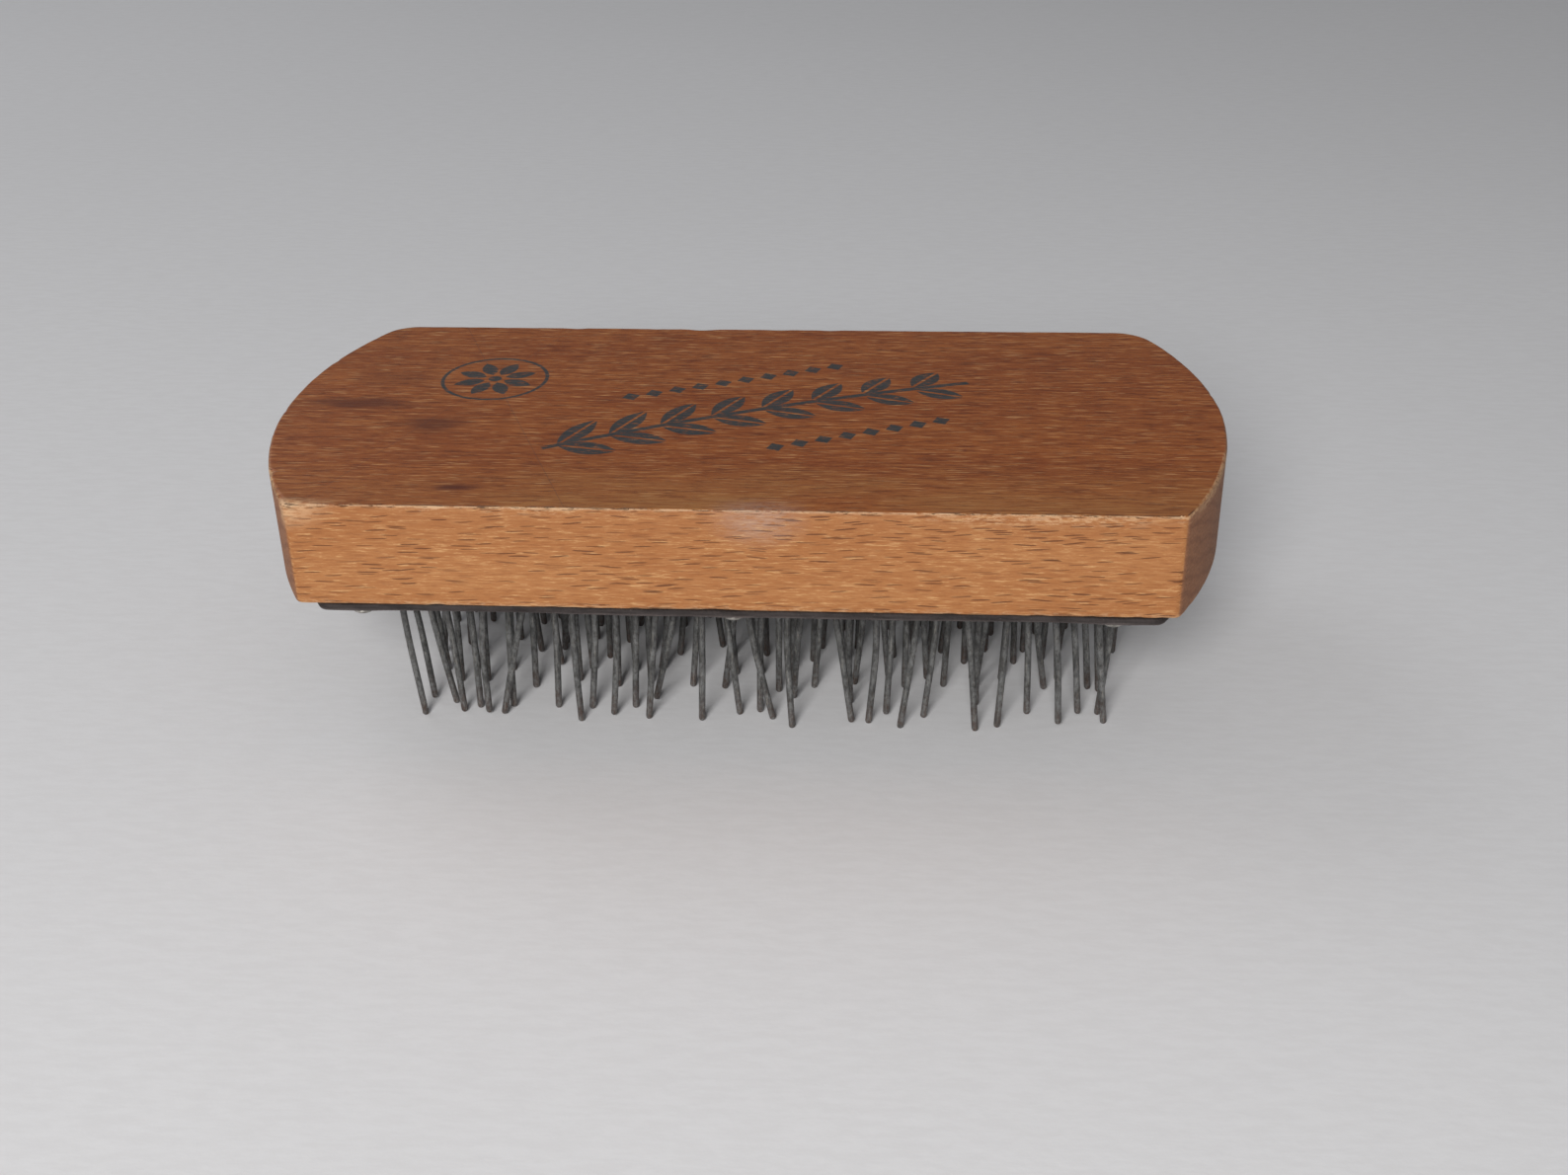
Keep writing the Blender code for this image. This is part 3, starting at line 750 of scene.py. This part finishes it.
def sheet_rings(tack_spots):
    """The backing sheet's skin, which dips where the tacks pull it."""
    half_length = (SHEET_HIGH.x - SHEET_LOW.x) / 2
    shift = (SHEET_HIGH.x + SHEET_LOW.x) / 2
    outline = bowed_outline(half_length, SHEET_HIGH.y, SHEET_CORNER_RADIUS, SHEET_CORNER_RADIUS)
    edge = spaced_outline(outline, OUTLINE_STEP)
    thickness = SHEET_HIGH.z - SHEET_LOW.z
    rings = []
    for inset, height in SHEET_SECTION:
        ring = []
        for point, out in edge:
            spot = point - out * inset * MM
            spot.x += shift
            ripple = unevenness(spot, SLOW_RIPPLE) + unevenness(spot, QUICK_RIPPLE)
            lift = unevenness(spot, WARP)
            dip = sum(TACK_PULL * knock(spot, tack, TACK_PULL_REACH) for tack in tack_spots)
            z = SHEET_LOW.z + thickness * height + lift - dip
            spot -= out * ripple
            ring.append(Vector((spot.x, spot.y, min(z, BLOCK_LOW.z - SEAT_GAP))))
        rings.append(ring)
    return rings


def tack_nodes():
    return sorted(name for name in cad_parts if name.startswith("tack_"))


def tack_spot(name):
    low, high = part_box(name)
    return ((low.x + high.x) / 2, (low.y + high.y) / 2)


def make_backing():
    spots = [tack_spot(name) for name in tack_nodes()]
    mesh = skin_rings("backing_sheet", list(reversed(sheet_rings(spots))))
    add_piece("backing_sheet", mesh, backing_rubber(), ["wire_backing"])


def tack_profile(shank):
    """(radius, height above the head's seat) from the point of a shank this long to the head's crown."""
    easing_across, easing_up = TACK_HEAD_EASING
    profile = [
        (TACK_POINT_RADIUS, shank - TACK_POINT_BEVEL),
        (TACK_SHANK_RADIUS, shank / 3),
        (TACK_SHANK_RADIUS, 0.0),
        (TACK_HEAD_RADIUS - easing_across, 0.0),
        (TACK_HEAD_RADIUS, -easing_up),
    ]
    for step in range(TACK_HEAD_RINGS):
        turn = math.pi / 2 * step / TACK_HEAD_TURN
        depth = TACK_HEAD_RIM + (TACK_HEAD_HEIGHT - TACK_HEAD_RIM) * math.sin(turn)
        profile.append((TACK_HEAD_RADIUS * math.cos(turn), -depth))
    return profile


def make_tacks():
    material = tack_steel()
    turns = [2 * math.pi * side / TACK_SIDES for side in range(TACK_SIDES)]
    for name in tack_nodes():
        x, y = tack_spot(name)
        low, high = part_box(name)
        seat = low.z + TACK_HEAD_HEIGHT
        rings = []
        for radius, z in tack_profile(high.z - seat):
            spots = [(x + radius * math.cos(turn), y + radius * math.sin(turn)) for turn in turns]
            rings.append([Vector((*spot, seat + z)) for spot in spots])
        mesh = skin_rings(name + "_nail", list(reversed(rings)))
        add_piece(name + "_nail", mesh, material, [name])


def staple_feet(row, column):
    """Where a staple's two legs pass through the sheet."""
    shift = (row * ROW_STAGGER + COLUMN_PITCH / 2) % COLUMN_PITCH - COLUMN_PITCH / 2
    x = FIELD_START + column * COLUMN_PITCH + shift
    y = (row - (STAPLE_ROWS - 1) / 2) * ROW_PITCH - CROWN_REACH / 2
    return (x, y), (x + CROWN_RUN, y + CROWN_REACH)


def leg_path(foot, lean, knee, tip_height):
    """Main points of a leg from the sheet's underside down to its tip."""
    x, y = foot
    knee_z = SHEET_LOW.z - KNEE_HEIGHT * TOOTH_LENGTH
    knee_x = x + lean[0] * KNEE_HEIGHT + knee[0]
    knee_y = y + lean[1] * KNEE_HEIGHT + knee[1]
    tip = Vector((x + lean[0], y + lean[1], tip_height))
    return [Vector((x, y, SHEET_LOW.z - LEG_STRAIGHT)), Vector((knee_x, knee_y, knee_z)), tip]


def curved(points, steps):
    """A smooth curve through the points (Catmull-Rom), with this many steps to each stretch."""
    padded = [points[0] * 2 - points[1]] + points + [points[-1] * 2 - points[-2]]
    result = []
    for before, start, end, after in zip(padded, padded[1:], padded[2:], padded[3:]):
        for step in range(steps):
            t = step / steps
            turning = 2 * before - 5 * start + 4 * end - after
            twisting = 3 * start - before - 3 * end + after
            doubled = 2 * start + (end - before) * t + turning * t * t + twisting * t * t * t
            result.append(0.5 * doubled)
    return result + [points[-1]]


def staple_legs(row, column):
    """Both legs of a staple, with the bends that the frame's staple has."""
    chance = random.Random(100 * row + column)
    legs = []
    for leg, foot in enumerate(staple_feet(row, column)):
        lean_x = chance.uniform(-LEAN_LIMIT, LEAN_LIMIT)
        lean_y = chance.uniform(-LEAN_LIMIT_ACROSS, LEAN_LIMIT_ACROSS)
        knee = (chance.uniform(-KNEE_LIMIT, KNEE_LIMIT), chance.uniform(-KNEE_LIMIT, KNEE_LIMIT))
        tip_height = max(0.0, chance.uniform(-TIP_UNEVENNESS, TIP_UNEVENNESS))
        if (row, leg) in BENT_LINES:
            lean_x, lean_y = (bend * MM for bend in BENT_LINES[row, leg][column])
        legs.append(leg_path(foot, (lean_x, lean_y), knee, tip_height))
    return legs


def leg_stations(leg):
    """Points down a leg with their share of the radius, ending in a rounded tip."""
    path = curved(leg, LEG_STEPS)
    stations = [(point, 1.0) for point in path[:-1]]
    tip = path[-1]
    back = (path[-2] - tip).normalized()
    for above, share in TIP_ROUNDING:
        stations.append((tip + back * above * MM, share))
    return stations


def crown_points(row, column):
    """Corners of a staple's crown, over the sheet from the first leg to the second."""
    feet = staple_feet(row, column)
    crown_z = SHEET_HIGH.z + CROWN_PROUD - WIRE_RADIUS
    length = math.hypot(CROWN_RUN, CROWN_REACH)
    step_x = CROWN_RUN / length * CROWN_CORNER
    step_y = CROWN_REACH / length * CROWN_CORNER
    return [
        Vector((*feet[0], crown_z - CROWN_CORNER)),
        Vector((feet[0][0] + step_x, feet[0][1] + step_y, crown_z)),
        Vector((feet[1][0] - step_x, feet[1][1] - step_y, crown_z)),
        Vector((*feet[1], crown_z - CROWN_CORNER)),
    ]


def make_staple(row, column, material):
    legs = [leg_stations(leg) for leg in staple_legs(row, column)]
    crown = [(point, 1.0) for point in crown_points(row, column)]
    stations = list(reversed(legs[0])) + crown + legs[1]
    name = f"tooth_pair_row{row + 1}_{column + 1:02d}"
    curve = bpy.data.curves.new(name, "CURVE")
    curve.dimensions = "3D"
    curve.bevel_depth = WIRE_RADIUS
    curve.bevel_resolution = WIRE_SMOOTHNESS
    curve.use_fill_caps = True
    spline = curve.splines.new("POLY")
    spline.points.add(len(stations) - 1)
    spline.use_smooth = True
    for point, (place, share) in zip(spline.points, stations):
        point.co = (*place, 1.0)
        point.radius = share
    node = f"staple_row{row + 1}_{column + 1:02d}"
    add_piece(name, curve, material, [node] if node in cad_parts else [])


def make_staples():
    material = wire_steel()
    for row in range(STAPLE_ROWS):
        for column in range(STAPLE_COLUMNS):
            make_staple(row, column, material)


# ---------------------------------------------------------------- studio


def make_floor():
    bpy.ops.mesh.primitive_plane_add(size=FLOOR_SIZE, location=(0, 0, 0))
    floor = bpy.context.object
    floor.name = "studio_floor"
    floor.data.materials.append(floor_card())


def add_area_light(name, place, size, power, colour):
    lamp = bpy.data.lights.new(name, "AREA")
    lamp.shape = "DISK"
    lamp.size = size
    lamp.energy = power
    lamp.color = colour
    light = bpy.data.objects.new(name, lamp)
    light.location = place
    aim = Vector(LIGHT_AIM) - Vector(place)
    light.rotation_euler = aim.to_track_quat("-Z", "Y").to_euler()
    bpy.context.scene.collection.objects.link(light)


def make_lights():
    world = bpy.data.worlds.new("studio")
    bpy.context.scene.world = world
    world.use_nodes = True
    background = world.node_tree.nodes["Background"]
    background.inputs["Color"].default_value = WORLD_COLOUR
    background.inputs["Strength"].default_value = WORLD_STRENGTH
    add_area_light("key", *KEY)
    add_area_light("fill", *FILL)


def make_camera():
    yaw, pitch, roll = (math.radians(a) for a in (CAMERA_YAW, CAMERA_PITCH, CAMERA_ROLL))
    level = math.cos(pitch)
    ahead = Vector((math.sin(yaw) * level, math.cos(yaw) * level, -math.sin(pitch)))
    right = Vector((math.cos(yaw), -math.sin(yaw), 0))
    up = right.cross(ahead)
    turned_right = right * math.cos(roll) + up * math.sin(roll)
    turned_up = up * math.cos(roll) - right * math.sin(roll)
    lens = bpy.data.cameras.new("camera")
    lens.lens = LENS
    lens.sensor_width = SENSOR_WIDTH
    lens.clip_start = CLIP_START
    camera = bpy.data.objects.new("camera", lens)
    axes = Matrix((turned_right, turned_up, -ahead)).transposed()
    camera.matrix_world = Matrix.Translation(CAMERA_PLACE) @ axes.to_4x4()
    bpy.context.scene.collection.objects.link(camera)
    bpy.context.scene.camera = camera


make_camera()
make_lights()
make_floor()
make_block()
make_backing()
make_tacks()
make_staples()

bpy.context.scene.view_settings.view_transform = "Standard"
